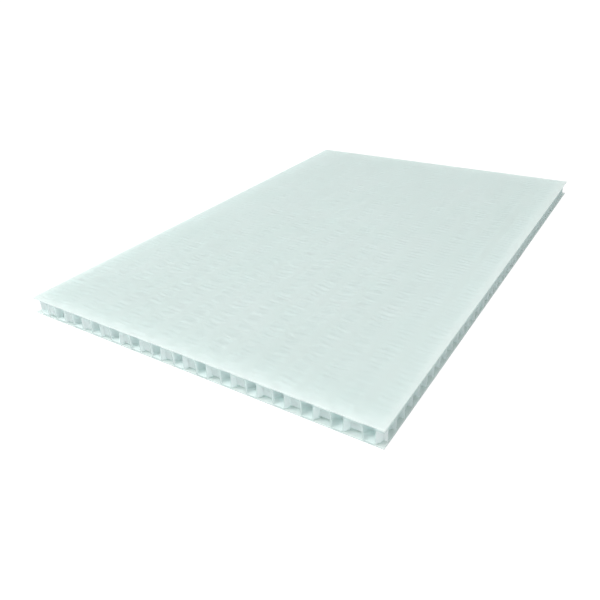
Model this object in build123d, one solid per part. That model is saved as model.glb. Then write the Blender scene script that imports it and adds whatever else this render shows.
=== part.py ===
from build123d import *
from math import ceil, hypot
import os

# Plastic honeycomb board, lying flat: two skins welded to a folded core.
# X runs across the board, Y runs along it and Z is up. The rows of cells run
# nearly along X. The origin is under the board's middle, on the surface it
# lies on. All sizes are in millimetres and angles in degrees.

board_width = 220.0
board_length = 330.0
skin_thickness = 0.7
core_height = 8.6
column_pitch = 14.67    # from one cell to the next along a row
row_pitch = 8.07        # across the flats of a cell, from row to row
web_thickness = 0.4     # of the film that the core is folded from
wall_lean = 0.5         # that a slanted wall leans over, from skin to skin
fold_gap = 1.0          # that a folded double wall stops short of its open side
row_skew = 0.59         # between the rows and the board's front cut
column_shift = -1.1     # from the board's middle to the nearest upward cell
row_shift = -1.33       # the same, across the rows
open_depth = 1.5        # how many cells deep the core is open behind a cut edge
gap_depth = 0.8         # how many cells deep the fold gaps are open
front_tear_across = 6.5     # core missing at the front left corner
front_tear_along = 3.6
rear_tear_across = 2.2      # core missing at the rear right corner
rear_tear_along = 15.0


def cell_outline(lean):
    """The clear outline of a cell. Its two flats are doubled walls, one film
    from each row, and its four slanted sides are single walls that it shares
    with cells of the other kind. They lie lean further out than half-way up."""
    half_flat = column_pitch / 6
    tip = column_pitch / 3
    half_height = row_pitch / 2
    slant = hypot(half_height, tip - half_flat)
    tip_inside = tip - web_thickness / 2 * slant / half_height + lean
    flat_inside = half_height - web_thickness
    corner_inside = tip_inside - (tip - half_flat) / half_height * flat_inside
    return [
        (tip_inside, 0),
        (corner_inside, flat_inside),
        (-corner_inside, flat_inside),
        (-tip_inside, 0),
        (-corner_inside, -flat_inside),
        (corner_inside, -flat_inside),
    ]


def hollow():
    """The clear space of a cell that is open below, from its wide mouth to its
    narrower lid."""
    depth = core_height - web_thickness
    mouth_lean = wall_lean / 2
    lid_lean = mouth_lean - wall_lean * depth / core_height
    mouth = [(x, y, 0) for x, y in cell_outline(mouth_lean)]
    lid = [(x, y, depth) for x, y in cell_outline(lid_lean)]
    walls = [(mouth[n - 1], mouth[n], lid[n], lid[n - 1]) for n in range(len(mouth))]
    faces = [Face(Wire.make_polygon(points)) for points in [mouth, lid, *walls]]
    return Solid(Shell(faces))


def gap():
    """The slot under a doubled wall, at its fold, from a cell to the next one in
    its column."""
    width = 2 * cell_outline(wall_lean / 2)[1][0] - web_thickness
    return Box(
        width,
        3 * web_thickness,
        fold_gap,
        align=(Align.CENTER, Align.CENTER, Align.MIN),
    )


def lattice(half_step):
    """The places of one kind of cell. The downward kind lies half a pitch on
    from the upward kind, both ways."""
    reach = hypot(board_width, board_length) / 2
    across = ceil(reach / column_pitch) + 1
    along = ceil(reach / row_pitch) + 1
    return [
        Rot(0, 0, row_skew)
        * Pos(
            column_shift + (column + half_step) * column_pitch,
            row_shift + (row + half_step) * row_pitch,
        )
        for column in range(-across, across + 1)
        for row in range(-along, along + 1)
    ]


def near_edge(place, depth):
    """Whether a place reaches onto the board, within depth cells of a cut edge."""
    middle = place.position
    across = board_width / 2 - abs(middle.X)
    along = board_length / 2 - abs(middle.Y)
    on_board = across > -column_pitch / 3 and along > -row_pitch / 2
    return on_board and (across < depth * column_pitch or along < depth * row_pitch)


def kind_of_cell(half_step, mouth):
    """The hollows of one kind of cell, and the gaps at the folds of its doubled
    walls. The mouth is where its open side lies, and how that side is turned."""
    space = mouth * hollow()
    slot = mouth * gap()
    cells = lattice(half_step)
    folds = [place * Pos(0, row_pitch / 2) for place in cells]
    hollows = [place * space for place in cells if near_edge(place, open_depth)]
    gaps = [place * slot for place in folds if near_edge(place, gap_depth)]
    return hollows + gaps


def torn_corner(across, along):
    """The three-cornered piece of core that is missing at a corner: here the
    rear right one."""
    x = board_width / 2
    y = board_length / 2
    area = make_face(Polyline((x, y), (x - across, y), (x, y - along), close=True))
    return Pos(0, 0, skin_thickness) * extrude(area, core_height)


def core():
    """The folded web. The downward cells are closed by a lid under the top skin
    and open below, and the upward ones are the same cell turned over."""
    block = Pos(0, 0, skin_thickness) * Box(
        board_width,
        board_length,
        core_height,
        align=(Align.CENTER, Align.CENTER, Align.MIN),
    )
    on_bottom_skin = Pos(0, 0, skin_thickness)
    under_top_skin = Pos(0, 0, skin_thickness + core_height) * Rot(180, 0, 0)
    downward = kind_of_cell(0.5, on_bottom_skin)
    upward = kind_of_cell(0.0, under_top_skin)
    front_tear = Rot(0, 0, 180) * torn_corner(front_tear_across, front_tear_along)
    rear_tear = torn_corner(rear_tear_across, rear_tear_along)
    return block - (downward + upward + [front_tear, rear_tear])


def skin(bottom):
    return Pos(0, 0, bottom) * Box(
        board_width,
        board_length,
        skin_thickness,
        align=(Align.CENTER, Align.CENTER, Align.MIN),
    )


pieces = {
    "bottom_skin": skin(0),
    "honeycomb_core": core(),
    "top_skin": skin(skin_thickness + core_height),
}

os.makedirs("parts", exist_ok=True)
for name, piece in pieces.items():
    piece.label = name
    export_step(piece, f"parts/{name}.step")
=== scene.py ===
# %% [markdown]
# # A plastic honeycomb board
#
# The board is a light sandwich: two thin skins of natural polypropylene, and
# between them a single film of the same plastic, pressed into half hexagons and
# folded up into rows of cells. Only the cut edges let one look into it, and the
# flat skins show the cells as a faint print.
#
# This lesson dresses the measured solids of that board. They come in as a fixed
# frame, so every piece below is made in place, at its real size.

# %% Load the measured board
import math

import bpy
import numpy as np
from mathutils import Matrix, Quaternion, Vector


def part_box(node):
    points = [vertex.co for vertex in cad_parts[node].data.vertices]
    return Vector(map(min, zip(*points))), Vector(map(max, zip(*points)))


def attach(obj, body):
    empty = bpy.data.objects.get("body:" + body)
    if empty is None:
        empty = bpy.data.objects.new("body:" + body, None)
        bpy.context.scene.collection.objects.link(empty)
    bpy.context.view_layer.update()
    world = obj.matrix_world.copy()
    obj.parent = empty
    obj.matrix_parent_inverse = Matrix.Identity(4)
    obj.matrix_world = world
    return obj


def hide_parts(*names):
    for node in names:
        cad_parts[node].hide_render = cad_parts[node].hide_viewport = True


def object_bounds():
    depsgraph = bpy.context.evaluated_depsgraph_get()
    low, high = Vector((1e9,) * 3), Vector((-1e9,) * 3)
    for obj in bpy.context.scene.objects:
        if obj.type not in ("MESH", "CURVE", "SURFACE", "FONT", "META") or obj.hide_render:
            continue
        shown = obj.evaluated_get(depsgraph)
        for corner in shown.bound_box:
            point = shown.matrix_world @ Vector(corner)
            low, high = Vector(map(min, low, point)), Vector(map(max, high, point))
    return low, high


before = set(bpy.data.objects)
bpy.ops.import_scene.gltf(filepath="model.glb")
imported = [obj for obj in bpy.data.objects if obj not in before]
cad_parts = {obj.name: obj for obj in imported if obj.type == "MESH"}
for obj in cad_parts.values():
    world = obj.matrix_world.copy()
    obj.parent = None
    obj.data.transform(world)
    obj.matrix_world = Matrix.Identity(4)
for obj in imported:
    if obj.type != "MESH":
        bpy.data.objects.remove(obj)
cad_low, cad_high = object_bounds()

MM = 0.001
core_low, core_high = (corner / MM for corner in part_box("honeycomb_core"))
board_width = core_high.x - core_low.x
board_length = core_high.y - core_low.y
core_height = core_high.z - core_low.z
skin_thickness = core_low.z
board_height = core_high.z + skin_thickness
print(f"board {board_width:.0f} x {board_length:.0f} mm, {board_height:.0f} mm thick")
print(f"core {core_height:.1f} mm, skins {skin_thickness:.1f} mm")

# %% [markdown]
# ## The camera
#
# The camera can be aimed by eye, but a box shows so many straight edges that it
# is better worked out: a position, two angles and a small roll that put all of
# the board's corners where the picture has them. The lens follows from how fast
# the edges run together.

# %% Place the camera
camera_place = Vector((0.18179, -0.32624, 0.16986))
camera_azimuth = math.radians(33.963)
camera_elevation = math.radians(29.781)
camera_roll = math.radians(-2.69)
lens_length = 35.585
sensor_width = 36.0
nearest_seen = 0.01

look = Vector((
    -math.sin(camera_azimuth) * math.cos(camera_elevation),
    math.cos(camera_azimuth) * math.cos(camera_elevation),
    -math.sin(camera_elevation),
))
camera_data = bpy.data.cameras.new("camera")
camera_data.lens = lens_length
camera_data.sensor_width = sensor_width
camera_data.clip_start = nearest_seen
camera = bpy.data.objects.new("camera", camera_data)
camera.location = camera_place
camera.rotation_mode = "QUATERNION"
camera.rotation_quaternion = look.to_track_quat("-Z", "Y") @ Quaternion((0, 0, 1), camera_roll)
bpy.context.scene.collection.objects.link(camera)
bpy.context.scene.camera = camera
print(f"camera {camera_place.length:.2f} m from the board's middle")

# %% [markdown]
# ## What only the camera sees
#
# The surroundings are white in the picture, but a white floor and sky that also
# lit the board would wash it out. So both get two looks, one for the camera and
# one for the light that they send to the board. A light path node tells which
# of the two a ray asks for.

# %% Tell the camera's rays from the others
def calculate(tree, operation, first, second):
    """One sum on two values of a material; the second may be a plain number."""
    node = tree.nodes.new("ShaderNodeMath")
    node.operation = operation
    tree.links.new(first, node.inputs[0])
    if isinstance(second, (int, float)):
        node.inputs[1].default_value = second
    else:
        tree.links.new(second, node.inputs[1])
    return node.outputs[0]

def seen_white(tree):
    """A value that is 1 where the camera looks, straight, mirrored or through,
    and 0 for light that has been scattered in milky plastic."""
    path = tree.nodes.new("ShaderNodeLightPath").outputs
    mirrored = calculate(tree, "MAXIMUM", path["Is Camera Ray"], path["Is Glossy Ray"])
    seen = calculate(tree, "MAXIMUM", mirrored, path["Is Transmission Ray"])
    scattered = calculate(tree, "MULTIPLY", seen, path["Is Diffuse Ray"])
    return calculate(tree, "SUBTRACT", seen, scattered)

print("sums on light paths ready")

# %% [markdown]
# ## Light
#
# Milky plastic needs soft light, because a small lamp would only show as a spot
# on it. One large lamp stands high at the front left, so that the ripples of the
# top cast soft shades and light gets into the cells. A pale sky fills the rest,
# and together they light the top at the level at which a colour renders about
# as written.
#
# Inside a pale cell light goes from wall to wall many times before it is spent,
# so the limits on the number of bounces are raised. With few of them the cells
# would come out dark.

# %% Make the pale sky
sky_level = 0.72
white = (1, 1, 1, 1)
bounces = 24

bpy.context.scene.view_settings.view_transform = "Standard"
bpy.context.scene.cycles.max_bounces = bounces
bpy.context.scene.cycles.transmission_bounces = bounces
bpy.context.scene.cycles.diffuse_bounces = bounces // 2
world = bpy.data.worlds.new("pale_sky")
bpy.context.scene.world = world
world.use_nodes = True
sky = world.node_tree
sky.nodes.clear()
sky_light = sky.nodes.new("ShaderNodeBackground")
sky_light.inputs["Strength"].default_value = sky_level
sky_seen = sky.nodes.new("ShaderNodeBackground")
sky_mix = sky.nodes.new("ShaderNodeMixShader")
sky_out = sky.nodes.new("ShaderNodeOutputWorld")
for background in (sky_light, sky_seen):
    background.inputs["Color"].default_value = white
sky.links.new(seen_white(sky), sky_mix.inputs[0])
sky.links.new(sky_light.outputs[0], sky_mix.inputs[1])
sky.links.new(sky_seen.outputs[0], sky_mix.inputs[2])
sky.links.new(sky_mix.outputs[0], sky_out.inputs["Surface"])
print(f"sky of {sky_level}, up to {bounces} bounces")

# %% Hang the key lamp
key_power = 33.5
key_size = 1.2
key_place = Vector((-1.1, -1.2, 1.6))

key_data = bpy.data.lights.new("key", "AREA")
key_data.energy = key_power
key_data.size = key_size
key = bpy.data.objects.new("key", key_data)
key.location = key_place
key.rotation_mode = "QUATERNION"
key.rotation_quaternion = (-key_place).to_track_quat("-Z", "Y")
bpy.context.scene.collection.objects.link(key)
print(f"key lamp of {key_power} W at {key_place.length:.2f} m")

# %% [markdown]
# ## Floor
#
# The floor is one wide square just under the board. Its grey decides how much
# light it throws back into the cells. To the camera it glows almost white, and a
# little plain shading on top makes up the rest, so that it is darker only where
# the board stands in its light: that keeps the shadow.

# %% Lay the floor
floor_size = 12.0
floor_gap = 0.1

floor_mesh = bpy.data.meshes.new("floor")
half = floor_size / 2
floor_z = cad_low.z - floor_gap * MM
floor_mesh.from_pydata(
    [(-half, -half, floor_z), (half, -half, floor_z), (half, half, floor_z), (-half, half, floor_z)],
    [],
    [(0, 1, 2, 3)],
)
floor = bpy.data.objects.new("floor", floor_mesh)
bpy.context.scene.collection.objects.link(floor)
print(f"floor {floor_size:.0f} m wide at z {floor_z / MM:.2f} mm")

# %% Give the floor its two looks
floor_grey = 0.65
floor_glow = 0.86
floor_shadow = 0.30

floor_material = bpy.data.materials.new("studio_floor")
floor_material.use_nodes = True
tree = floor_material.node_tree
tree.nodes.clear()
bounce = tree.nodes.new("ShaderNodeBsdfDiffuse")
bounce.inputs["Color"].default_value = (floor_grey, floor_grey, floor_grey, 1)
shaded = tree.nodes.new("ShaderNodeBsdfDiffuse")
shaded.inputs["Color"].default_value = (floor_shadow, floor_shadow, floor_shadow, 1)
glow = tree.nodes.new("ShaderNodeEmission")
glow.inputs["Strength"].default_value = floor_glow
seen_floor = tree.nodes.new("ShaderNodeAddShader")
floor_mix = tree.nodes.new("ShaderNodeMixShader")
floor_out = tree.nodes.new("ShaderNodeOutputMaterial")
tree.links.new(shaded.outputs[0], seen_floor.inputs[0])
tree.links.new(glow.outputs[0], seen_floor.inputs[1])
tree.links.new(seen_white(tree), floor_mix.inputs[0])
tree.links.new(bounce.outputs[0], floor_mix.inputs[1])
tree.links.new(seen_floor.outputs[0], floor_mix.inputs[2])
tree.links.new(floor_mix.outputs[0], floor_out.inputs["Surface"])
floor_mesh.materials.append(floor_material)
print(f"floor grey {floor_grey}, seen at {floor_glow} and up")

# %% [markdown]
# ## The cells' pattern
#
# The film's cells come in two kinds, half a pitch apart both ways. A downward
# cell has its lid under the top skin and is open below, and an upward cell is
# the same one turned over. Their rows were not quite square to the saw when the
# board was cut, so the whole pattern lies turned by a little over half a degree.
# These are the same sizes that the solids were made from.

# %% Set out the cells
column_pitch = 14.67
row_pitch = 8.07
web = 0.4
row_skew = math.radians(0.59)
column_shift = -1.1
row_shift = -1.33
turn = np.array([
    [math.cos(row_skew), -math.sin(row_skew)],
    [math.sin(row_skew), math.cos(row_skew)],
])

def cell_middles(half_step):
    """Middles of one kind of cell, out to those that only just reach the board."""
    reach = math.hypot(board_width, board_length) / 2
    across = math.ceil(reach / column_pitch) + 1
    along = math.ceil(reach / row_pitch) + 1
    columns = column_shift + (np.arange(-across, across + 1) + half_step) * column_pitch
    rows = row_shift + (np.arange(-along, along + 1) + half_step) * row_pitch
    grid = np.stack(np.meshgrid(columns, rows), -1).reshape(-1, 2)
    places = grid @ turn.T
    inside = np.abs(places) < [board_width / 2 + column_pitch / 3, board_length / 2 + row_pitch / 2]
    return places[inside.all(1)]

upward_cells = cell_middles(0.0)
downward_cells = cell_middles(0.5)
print(f"{len(upward_cells)} upward and {len(downward_cells)} downward cells")

# %% [markdown]
# ## One cell's hollow
#
# A film with a real thickness is awkward to fold in a mesh. It is easier to make
# what the film leaves free: the clear space of one cell, a six-sided well with
# round corners. Where the film turns from wall to lid it bends, so the well has
# a rounded floor, and its mouth flares where the neighbours' lids bend the other
# way. The slanted walls lean a little, which the forming tool needs to let go.

# %% Outline of a well
wall_lean = 0.5

def well_outline(lean, inset, rounding):
    """Three points at each of the six round corners, anticlockwise, in mm."""
    half_flat = column_pitch / 6
    tip = column_pitch / 3
    half_height = row_pitch / 2
    slant = math.hypot(half_height, tip - half_flat)
    tip_x = tip - (web / 2 + inset) * slant / half_height + lean
    flat_y = half_height - web - inset
    corner_x = tip_x - (tip - half_flat) / half_height * flat_y
    corners = np.array([
        (tip_x, 0), (corner_x, flat_y), (-corner_x, flat_y),
        (-tip_x, 0), (-corner_x, -flat_y), (corner_x, -flat_y),
    ])
    points = []
    for number, corner in enumerate(corners):
        before = corners[number - 1] - corner
        after = corners[(number + 1) % 6] - corner
        before /= np.linalg.norm(before)
        after /= np.linalg.norm(after)
        half_angle = math.acos(before @ after) / 2
        leg = rounding / math.tan(half_angle)
        bisector = (before + after) / np.linalg.norm(before + after)
        middle = corner + bisector * (rounding / math.sin(half_angle) - rounding)
        points += [corner + before * leg, middle, corner + after * leg]
    return np.array(points)

print(f"outline of {len(well_outline(0, 0, 0.5))} points")

# %% Rings from mouth to floor
bend_inside = 0.55
bend_outside = bend_inside + web
fold_rounding = 0.6
corner_tightening = 0.6
lid_crease = 0.7
well_depth = core_height - web
flare_angles = [math.radians(angle) for angle in (68, 34, 0)]
floor_angles = [math.radians(angle) for angle in (0, 45, 80)]

def detailed_rings():
    """Rings of a well near a cut edge, from its mouth at 0 to its round floor.
    The lid is folded from two flaps, which meet in a low crease along the row."""
    rings = []
    for angle in flare_angles:
        flare = bend_outside * (1 - math.cos(angle))
        height = bend_outside * (math.sin(flare_angles[0]) - math.sin(angle))
        rings.append((height, flare, 0.0))
    for angle in floor_angles:
        inset = bend_inside * (1 - math.cos(angle))
        height = well_depth - bend_inside * (1 - math.sin(angle))
        rings.append((height, 0.0, inset))
    result = []
    for height, flare, inset in rings:
        lean = wall_lean * (0.5 - height / core_height) + flare
        outline = well_outline(lean, inset, fold_rounding - inset * corner_tightening)
        off_crease = np.abs(outline[:, 1]) / np.abs(outline[:, 1]).max()
        rise = lid_crease * (1 - off_crease) * (height > core_height / 2)
        result.append(np.column_stack([outline, height - rise]))
    return result

def plain_rings():
    """Rings of a well deep inside the board: straight, with single corners."""
    result = []
    for height in (0.0, well_depth):
        lean = wall_lean * (0.5 - height / core_height)
        outline = well_outline(lean, 0.0, fold_rounding)[1::3]
        result.append(np.column_stack([outline, np.full(len(outline), height)]))
    return result

print(f"a detailed well has {len(detailed_rings())} rings, a plain one {len(plain_rings())}")

# %% [markdown]
# ## Wells in the board
#
# All wells of both kinds go into one mesh. Those within a cell and a half of a
# cut edge are detailed, because light and the eye reach them. The others are
# plain six-sided ones, which keep the board's weight and section true. No two
# cells of a folded film are quite alike, so each well is a hair wider or
# narrower than the next, always by less than the film could give.

# %% Gather the wells
wells_random = np.random.default_rng(11)
detail_depth = 1.6
size_spread = 0.012

def rings_to_mesh(rings, points, faces, creased=False):
    """Adds a closed skin over a stack of rings. A creased one has its caps in two
    halves, which meet in a line from its first corner to the one across."""
    start = sum(len(block) for block in points)
    count = len(rings[0])
    points.extend(rings)
    for level in range(len(rings) - 1):
        low = start + level * count
        high = low + count
        for n in range(count):
            following = (n + 1) % count
            faces.append((low + n, low + following, high + following, high + n))
    last = start + (len(rings) - 1) * count
    for first, turned in ((start, True), (last, False)):
        cap = list(range(first, first + count))
        halves = [cap]
        if creased:
            middle = count // 2 + 1
            halves = [cap[1:middle + 1], cap[middle:] + cap[:2]]
        for half_cap in halves:
            faces.append(tuple(reversed(half_cap) if turned else half_cap))

def is_near_edge(place):
    """Whether a cell is close enough to a cut edge to be detailed."""
    across = board_width / 2 - abs(place[0])
    along = board_length / 2 - abs(place[1])
    return across < detail_depth * column_pitch or along < detail_depth * row_pitch

def wells_mesh():
    """The clear spaces of all cells, in mm, as points and faces."""
    points, faces = [], []
    detailed, plain = detailed_rings(), plain_rings()
    counts = {"detailed": 0, "plain": 0}
    for places, upward in ((downward_cells, False), (upward_cells, True)):
        for place in places:
            near = is_near_edge(place)
            counts["detailed" if near else "plain"] += 1
            stretch = 1 + wells_random.uniform(-size_spread, size_spread, 2)
            placed = []
            for ring in (detailed if near else plain):
                flat = (ring[:, :2] * stretch) @ turn.T + place
                height = core_low.z + ring[:, 2]
                if upward:
                    height = core_high.z - ring[:, 2]
                placed.append(np.column_stack([flat, height]))
            if upward:
                placed = placed[::-1]
            rings_to_mesh(placed, points, faces, creased=near)
    print(counts)
    return np.concatenate(points), faces

well_points, well_faces = wells_mesh()
print(f"wells: {len(well_points)} points, {len(well_faces)} faces")

# %% Make a mesh object from points in millimetres
def make_piece(name, points, faces):
    """An object of its own from points and faces, with its size turned to metres."""
    mesh = bpy.data.meshes.new(name)
    mesh.from_pydata((np.asarray(points) * MM).tolist(), [], faces)
    mesh.validate()
    piece = bpy.data.objects.new(name, mesh)
    bpy.context.scene.collection.objects.link(piece)
    return piece

wells = make_piece("wells", well_points, well_faces)
print(f"{wells.name}: {len(wells.data.polygons)} faces")

# %% [markdown]
# ## The gaps at the folds
#
# Along the rows, two films stand back to back where the sheet was folded over,
# and the fold is a tight hairpin. It does not reach the skin on its open side,
# so under each doubled wall there is a low slot from cell to cell. Seen at a cut
# edge, these slots are the board's row of dark dashes. Each is a small bar whose
# upper side follows the hairpin, and cutting it out leaves the fold's round foot.

# %% Gather the gaps
fold_gap = 1.1
gap_reach = 2.9
gap_random = np.random.default_rng(5)
gap_spread = 0.18
gap_half_width = 3 * web / 2
hairpin_points = 5

def gap_bar(height):
    """Section across the doubled wall: flat below, and a groove above that leaves
    the hairpin round."""
    section = [(-gap_half_width, 0.0), (gap_half_width, 0.0), (gap_half_width, height + web)]
    for angle in np.linspace(0, math.pi, hairpin_points):
        section.append((web * math.cos(angle), height + web * (1 - math.sin(angle))))
    section.append((-gap_half_width, height + web))
    return np.array(section)

def gaps_mesh():
    """Bars for the gaps of all cells near a cut edge, in mm, as points and faces."""
    points, faces = [], []
    for places, upward in ((downward_cells, False), (upward_cells, True)):
        for place in places:
            if not is_near_edge(place):
                continue
            section = gap_bar(fold_gap + gap_random.uniform(-gap_spread, gap_spread))
            ends = []
            for x in (-gap_reach, gap_reach):
                flat = np.column_stack([np.full(len(section), x), section[:, 0] + row_pitch / 2])
                height = core_low.z + section[:, 1]
                if upward:
                    height = core_high.z - section[:, 1]
                ends.append(np.column_stack([flat @ turn.T + place, height]))
            if upward:
                ends = ends[::-1]
            rings_to_mesh(ends, points, faces)
    return np.concatenate(points), faces

gaps = make_piece("gaps", *gaps_mesh())
print(f"gaps: {len(gaps.data.polygons)} faces")

# %% [markdown]
# ## Two torn corners
#
# At two corners the saw pulled a little of the film away, and one looks straight
# through between the skins. A three-sided prism takes the film out there. Its
# long side is broken into short uneven lengths, as torn film is.

# %% Make the torn corners
front_tear_across, front_tear_along = 6.5, 3.6
rear_tear_across, rear_tear_along = 2.2, 15.0
tear_random = np.random.default_rng(3)
tear_steps = 5
tear_raggedness = 0.25
outside = 1.0

def tear_points(corner, across, along):
    """A three-sided outline at a corner, with a ragged long side. It reaches a
    little outside the board, so that nothing is left standing at the cut."""
    cx, cy = corner
    sx, sy = math.copysign(1, cx), math.copysign(1, cy)
    outline = [(cx + sx * outside, cy + sy * outside), (cx - sx * across, cy + sy * outside)]
    for share in np.linspace(0, 1, tear_steps):
        x = cx - sx * across * (1 - share)
        y = cy - sy * along * share
        ragged = tear_random.uniform(-tear_raggedness, tear_raggedness)
        outline.append((x + sx * ragged * (0 < share < 1), y))
    outline.append((cx + sx * outside, cy - sy * along))
    return np.array(outline if sx * sy > 0 else outline[::-1])

def tears_mesh():
    """Prisms for both torn corners, in mm, as points and faces."""
    points, faces = [], []
    sizes = (
        ((-board_width / 2, -board_length / 2), front_tear_across, front_tear_along),
        ((board_width / 2, board_length / 2), rear_tear_across, rear_tear_along),
    )
    for corner, across, along in sizes:
        outline = tear_points(corner, across, along)
        rings = [
            np.column_stack([outline, np.full(len(outline), height)])
            for height in (core_low.z - outside, core_high.z + outside)
        ]
        rings_to_mesh(rings, points, faces)
    return np.concatenate(points), faces

tears = make_piece("tears", *tears_mesh())
print(f"tears: {len(tears.data.polygons)} faces")

# %% [markdown]
# ## Cutting the core
#
# The core starts as a plain slab of its full size, and the wells, the gaps and
# the tears are cut out of it with three Boolean modifiers. What is left is the
# folded film. The manifold solver is made for closed meshes like these and takes
# about a second for all of them. The saw cut comes free: wherever a well crosses
# the slab's side, it lies open. The slab keeps a hundredth of a millimetre away
# from each skin, because two faces in one plane would flicker.

# %% Cut the wells, gaps and tears
def slab_points(low, high):
    """The eight corners of a slab, from its lowest to its highest."""
    return [(x, y, z) for z in (low.z, high.z) for y in (low.y, high.y) for x in (low.x, high.x)]

slab_faces = [(0, 2, 3, 1), (4, 5, 7, 6), (0, 1, 5, 4), (2, 6, 7, 3), (0, 4, 6, 2), (1, 3, 7, 5)]
weld_gap = Vector((0, 0, 0.01))
core = make_piece("folded_core", slab_points(core_low + weld_gap, core_high - weld_gap), slab_faces)
for tool in (wells, gaps, tears):
    cut = core.modifiers.new(tool.name, "BOOLEAN")
    cut.operation = "DIFFERENCE"
    cut.solver = "MANIFOLD"
    cut.object = tool
cut_core = bpy.data.meshes.new_from_object(core.evaluated_get(bpy.context.evaluated_depsgraph_get()))
core.modifiers.clear()
core.data = cut_core
for tool in (wells, gaps, tears):
    bpy.data.objects.remove(tool)
core_triangles = sum(len(p.vertices) - 2 for p in cut_core.polygons)
print(f"core: {len(cut_core.polygons)} faces, {core_triangles} triangles")

# %% [markdown]
# ## The skins
#
# A skin is welded to the lids, and where it has no lid under it, over the mouths
# of the other kind of cell, it cools into faint ripples. They run along the rows
# in columns a cell wide, and are up to a few tenths of a millimetre deep. A bump
# map could fake them, but then the mesh would be flat, so the outer face is a
# fine grid whose points sink by that little. Nothing rises above the true
# thickness.

# %% Smooth unevenness
relief_random = np.random.default_rng(21)

def soft_noise(u, v, wavelength, count=7):
    """Unevenness between about -1 and 1, as a sum of waves of about one length,
    in mm, that run all ways."""
    total = np.zeros_like(u)
    for _ in range(count):
        angle = relief_random.uniform(0, 2 * math.pi)
        length = wavelength * relief_random.uniform(0.7, 1.5)
        phase = relief_random.uniform(0, 2 * math.pi)
        total += np.sin(2 * math.pi * (u * math.cos(angle) + v * math.sin(angle)) / length + phase)
    return total / math.sqrt(count)

def smooth_step(low, high, value):
    """From 0 at low to 1 at high, without a kink at either."""
    share = np.clip((value - low) / (high - low), 0, 1)
    return share * share * (3 - 2 * share)

print("noise and steps ready")

# %% Relief of a skin
band_full, band_gone = 2.6, 5.6
band_waver = 0.9
waves_in_a_cell = 2
wave_bend = 2.2
short_bend, long_bend = 0.55, 0.5
strength_spread = 0.45
weakest, strongest = 0.4, 1.6

def skin_relief(x, y, half_step, ripple, swell):
    """How deep a skin sinks at a place, in mm: bent ripples, in bands over the
    columns of one kind of cell, and a slow swell all over."""
    u = x * turn[0, 0] + y * turn[1, 0]
    v = x * turn[0, 1] + y * turn[1, 1]
    column = (u - column_shift) / column_pitch - half_step
    off_column = np.abs(column - np.round(column)) * column_pitch
    off_column += band_waver * soft_noise(u, v, wavelength=22)
    band = 1 - smooth_step(band_full, band_gone, off_column)
    bend = short_bend * soft_noise(u, v, wavelength=9) + long_bend * soft_noise(u, v, wavelength=30)
    rows = (v - row_shift) / row_pitch - half_step
    wave = 0.5 + 0.5 * np.cos(2 * math.pi * waves_in_a_cell * rows + wave_bend * bend)
    uneven = strength_spread * soft_noise(u, v, wavelength=26)
    strength = np.clip(1 + uneven, weakest, strongest)
    dip = ripple * band * wave * strength
    return np.maximum(dip + swell * (1 + soft_noise(u, v, wavelength=60)) / 2, 0)

print("relief ready")

# %% Rim of a skin
rim_round = 0.06
rim_waver = 0.04
nearly = 1e-6

def grid_border(columns, rows):
    """Numbers of a grid's border points, anticlockwise from the first corner."""
    front = list(range(columns))
    right = [n * columns + columns - 1 for n in range(1, rows)]
    rear = [rows * columns - 2 - n for n in range(columns - 1)]
    left = [n * columns for n in range(rows - 2, 0, -1)]
    return front + right + rear + left

def rim_rings(edge, face_up, low_z, high_z):
    """Three rings round a skin's rim: below its outer face, above its inner one,
    and on the inner one. The first two stand out to the saw cut, and waver."""
    outward = np.zeros((len(edge), 2))
    for axis in (0, 1):
        place = edge[:, axis]
        outward[:, axis] = (place > place.max() - nearly) * 1.0 - (place < place.min() + nearly)
    outer_z, inner_z, turned = (high_z, low_z, 1) if face_up else (low_z, high_z, -1)
    rings = []
    for out, height in (
        (rim_round, outer_z - turned * rim_round),
        (rim_round, inner_z + turned * rim_round),
        (0, inner_z),
    ):
        waver = rim_waver * np.abs(soft_noise(edge[:, 0], edge[:, 1], wavelength=5)) / 2
        waver = np.clip(waver, 0, rim_waver) * (out > 0)
        flat = edge[:, :2] + outward * (out - waver)[:, None]
        rings.append(np.column_stack([flat, np.full(len(edge), height)]))
    return rings

print(f"rim rounded by {rim_round} mm, wavering by {rim_waver} mm")

# %% Make a skin from a grid
rim_fade = 1.5

def skin_mesh(low_z, high_z, face_up, step_x, step_y, half_step, ripple, swell):
    """A skin whose outer face is a grid with relief, which fades out at the rim.
    Its inner face is one flat face."""
    half_x = board_width / 2
    half_y = board_length / 2
    xs = np.linspace(-half_x + rim_round, half_x - rim_round, round(board_width / step_x) + 1)
    ys = np.linspace(-half_y + rim_round, half_y - rim_round, round(board_length / step_y) + 1)
    grid_x, grid_y = np.meshgrid(xs, ys)
    off_rim = np.minimum(half_x - np.abs(grid_x), half_y - np.abs(grid_y))
    sink = skin_relief(grid_x, grid_y, half_step, ripple, swell) * smooth_step(0, rim_fade, off_rim)
    outer = high_z - sink if face_up else low_z + sink
    points = np.stack([grid_x, grid_y, outer], -1).reshape(-1, 3)
    columns, rows = len(xs), len(ys)
    corner = (np.arange(rows - 1)[:, None] * columns + np.arange(columns - 1)).ravel()
    faces = np.stack([corner, corner + 1, corner + columns + 1, corner + columns], 1).tolist()
    border = grid_border(columns, rows)
    rings = rim_rings(points[border], face_up, low_z, high_z)
    starts = [len(points) + n * len(border) for n in range(len(rings))]
    chain = [border] + [list(range(start, start + len(border))) for start in starts]
    for above, below in zip(chain, chain[1:]):
        for n in range(len(border)):
            following = (n + 1) % len(border)
            faces.append((above[n], below[n], below[following], above[following]))
    faces.append(tuple(reversed(chain[-1])))
    if not face_up:
        faces = [tuple(reversed(face)) for face in faces]
    return np.concatenate([points, *rings]), faces

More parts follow.
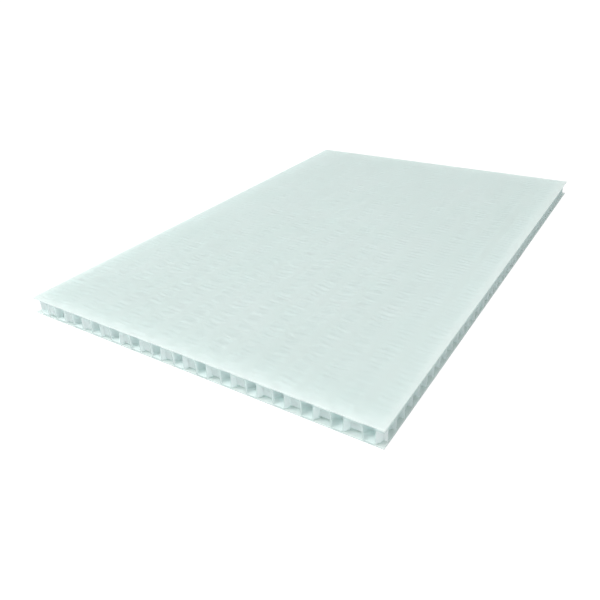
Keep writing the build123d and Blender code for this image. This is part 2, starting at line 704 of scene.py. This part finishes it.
top_low, top_high = (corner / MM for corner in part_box("top_skin"))
top_skin = make_piece("skin_top", *skin_mesh(
    top_low.z, top_high.z, face_up=True,
    step_x=1.55, step_y=0.62, half_step=0.0, ripple=0.23, swell=0.04,
))
bottom_low, bottom_high = (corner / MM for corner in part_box("bottom_skin"))
bottom_skin = make_piece("skin_bottom", *skin_mesh(
    bottom_low.z, bottom_high.z, face_up=False,
    step_x=1.55, step_y=0.72, half_step=0.5, ripple=0.17, swell=0.03,
))
for skin in (top_skin, bottom_skin):
    print(f"{skin.name}: {len(skin.data.polygons)} faces")

# %% [markdown]
# ## Milky plastic
#
# Natural polypropylene is neither clear nor white: a sheet of it sends about half
# of the light back and passes much of the rest on, scattered. Subsurface
# scattering would do for a solid block, but these walls are thin, and it is the
# light that comes through them that makes the cells bright. So each face mixes
# two shaders, one that scatters light back and one that scatters it through.
# Seen from its inner side a face only passes light on, so that a wall's two
# faces don't take their share of it twice. All finishes share this recipe, and
# differ in tone, gloss and grain.

# %% The plastic's recipe
refraction = 1.49

def new_material(name, roughness, passed_on):
    """A milky plastic. Passed on is the share of light that a face lets through."""
    material = bpy.data.materials.new(name)
    material.use_nodes = True
    tree = material.node_tree
    shader = tree.nodes["Principled BSDF"]
    shader.inputs["Roughness"].default_value = roughness
    shader.inputs["IOR"].default_value = refraction
    through = tree.nodes.new("ShaderNodeBsdfTranslucent")
    both = tree.nodes.new("ShaderNodeMixShader")
    both.inputs["Fac"].default_value = passed_on
    tree.links.new(shader.outputs[0], both.inputs[1])
    tree.links.new(through.outputs[0], both.inputs[2])
    onward = tree.nodes.new("ShaderNodeBsdfTranslucent")
    onward.inputs["Color"].default_value = white
    either_side = tree.nodes.new("ShaderNodeMixShader")
    inside = tree.nodes.new("ShaderNodeNewGeometry").outputs["Backfacing"]
    tree.links.new(inside, either_side.inputs["Fac"])
    tree.links.new(both.outputs[0], either_side.inputs[1])
    tree.links.new(onward.outputs[0], either_side.inputs[2])
    tree.links.new(either_side.outputs[0], tree.nodes["Material Output"].inputs["Surface"])
    return material, tree, shader, through

print(f"plastic that bends light by {refraction}")

# %% Tone, gloss and grain
def noise(tree, scale, detail, stretch=(1, 1, 1)):
    """Noise over the object's own coordinates; scale is in waves per mm."""
    place = tree.nodes.new("ShaderNodeTexCoord")
    mapping = tree.nodes.new("ShaderNodeMapping")
    mapping.inputs["Scale"].default_value = [scale * s / MM for s in stretch]
    texture = tree.nodes.new("ShaderNodeTexNoise")
    texture.inputs["Scale"].default_value = 1.0
    texture.inputs["Detail"].default_value = detail
    tree.links.new(place.outputs["Object"], mapping.inputs["Vector"])
    tree.links.new(mapping.outputs["Vector"], texture.inputs["Vector"])
    return texture.outputs["Fac"]

def tint(tree, shader, through, value, low, high):
    """Colours both shaders from low to high, as a value goes from 0.3 to 0.7."""
    colours = tree.nodes.new("ShaderNodeValToRGB")
    colours.color_ramp.elements[0].position = 0.3
    colours.color_ramp.elements[0].color = (*low, 1)
    colours.color_ramp.elements[1].position = 0.7
    colours.color_ramp.elements[1].color = (*high, 1)
    tree.links.new(value, colours.inputs["Fac"])
    tree.links.new(colours.outputs["Color"], shader.inputs["Base Color"])
    tree.links.new(colours.outputs["Color"], through.inputs["Color"])

def dull(tree, shader, value, low, high):
    """Roughness from low to high, as a value goes from 0 to 1."""
    change = tree.nodes.new("ShaderNodeMapRange")
    change.inputs["To Min"].default_value = low
    change.inputs["To Max"].default_value = high
    tree.links.new(value, change.inputs["Value"])
    tree.links.new(change.outputs["Result"], shader.inputs["Roughness"])

def grain(tree, shader, through, value, depth):
    """Fine relief of a given depth in mm, for both shaders."""
    relief = tree.nodes.new("ShaderNodeBump")
    relief.inputs["Distance"].default_value = depth * MM
    tree.links.new(value, relief.inputs["Height"])
    tree.links.new(relief.outputs["Normal"], shader.inputs["Normal"])
    tree.links.new(relief.outputs["Normal"], through.inputs["Normal"])

print("tone, gloss and grain ready")

# %% [markdown]
# ## Five finishes
#
# A skin is satin and nearly even in tone. The film is glossier, and its grain
# stands upright, the way it was drawn over the forming tool. Where a lid is
# welded to a skin no air lies between them, so little light is turned back
# there: that finish passes more on, or each lid would show through the skin as
# a darker spot. The saw leaves a rough cut, which is a shade darker on the thin
# film than on the skins.

# %% Mix the finishes
skin_pale = (0.915, 0.985, 0.968)
skin_deep = (0.895, 0.977, 0.955)
film_pale = (0.87, 0.938, 0.938)
film_deep = (0.835, 0.915, 0.912)
weld_pale = (0.96, 0.99, 0.98)
weld_deep = (0.95, 0.98, 0.97)
cut_pale = (0.72, 0.82, 0.81)
cut_deep = (0.64, 0.75, 0.735)
sawn_pale = (0.87, 0.95, 0.935)
sawn_deep = (0.84, 0.93, 0.915)

skin_material, tree, shader, through = new_material("milky_skin", roughness=0.42, passed_on=0.48)
tint(tree, shader, through, noise(tree, 0.03, 3), skin_deep, skin_pale)
dull(tree, shader, noise(tree, 0.4, 2), 0.36, 0.50)
grain(tree, shader, through, noise(tree, 1.2, 2, (0.25, 1, 1)), 0.010)

film_material, tree, shader, through = new_material("folded_film", roughness=0.32, passed_on=0.40)
tint(tree, shader, through, noise(tree, 0.12, 3), film_deep, film_pale)
dull(tree, shader, noise(tree, 0.6, 2), 0.24, 0.42)
grain(tree, shader, through, noise(tree, 0.5, 3, (1, 1, 0.5)), 0.2)

weld_material, tree, shader, through = new_material("welded_film", roughness=0.6, passed_on=0.75)
tint(tree, shader, through, noise(tree, 0.12, 3), weld_deep, weld_pale)
dull(tree, shader, noise(tree, 0.6, 2), 0.5, 0.7)

cut_material, tree, shader, through = new_material("cut_film", roughness=0.5, passed_on=0.6)
tint(tree, shader, through, noise(tree, 0.5, 3), cut_deep, cut_pale)
dull(tree, shader, noise(tree, 1.5, 2), 0.45, 0.6)
grain(tree, shader, through, noise(tree, 3.0, 2, (1, 1, 0.25)), 0.03)

sawn_material, tree, shader, through = new_material("sawn_edge", roughness=0.6, passed_on=0.6)
tint(tree, shader, through, noise(tree, 0.5, 3), sawn_deep, sawn_pale)
dull(tree, shader, noise(tree, 1.5, 2), 0.5, 0.7)
grain(tree, shader, through, noise(tree, 3.0, 2, (1, 1, 0.25)), 0.03)
for material in (skin_material, film_material, weld_material, cut_material, sawn_material):
    print(material.name)

# %% Give each face its finish
upright, level = 0.9, 0.99
weld_reach = 0.05
sharpest_bend = math.radians(38)

def finish_piece(piece, finishes, edge_inset):
    """Finishes are a piece's own, that of its cut faces, which stand upright in
    the board's outline, and that of its welds, which lie flat at a skin."""
    mesh = piece.data
    mesh.materials.clear()
    for finish in finishes:
        mesh.materials.append(finish)
    centres = np.empty(len(mesh.polygons) * 3)
    normals = np.empty(len(mesh.polygons) * 3)
    mesh.polygons.foreach_get("center", centres)
    mesh.polygons.foreach_get("normal", normals)
    centres = np.abs(centres.reshape(-1, 3)) / MM
    normals = np.abs(normals.reshape(-1, 3))
    on_side = (centres[:, 0] > board_width / 2 - edge_inset) & (normals[:, 0] > upright)
    on_end = (centres[:, 1] > board_length / 2 - edge_inset) & (normals[:, 1] > upright)
    chosen = (on_side | on_end).astype(np.int32)
    if len(finishes) > 2:
        off_middle = np.abs(centres[:, 2] - board_height / 2)
        at_skin = off_middle > core_height / 2 - weld_reach
        chosen[at_skin & (normals[:, 2] > level)] = 2
    mesh.polygons.foreach_set("material_index", chosen)
    mesh.polygons.foreach_set("use_smooth", np.ones(len(chosen), bool))
    mesh.set_sharp_from_angle(angle=sharpest_bend)
    mesh.update()
    print(f"{piece.name}: {np.bincount(chosen).tolist()} faces of each finish")

finish_piece(core, (film_material, cut_material, weld_material), edge_inset=0.01)
finish_piece(top_skin, (skin_material, sawn_material), edge_inset=rim_round + rim_waver)
finish_piece(bottom_skin, (skin_material, sawn_material), edge_inset=rim_round + rim_waver)

# %% [markdown]
# ## Joining the frame
#
# Each piece takes the place of the solid that it was made from, and rides on the
# board's one body.

# %% Put the pieces on the board
for piece, node, slot in (
    (bottom_skin, "bottom_skin", "skin"),
    (core, "honeycomb_core", "core"),
    (top_skin, "top_skin", "skin"),
):
    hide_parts(node)
    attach(piece, "root")
    print(f"{piece.name} stands for {node}")
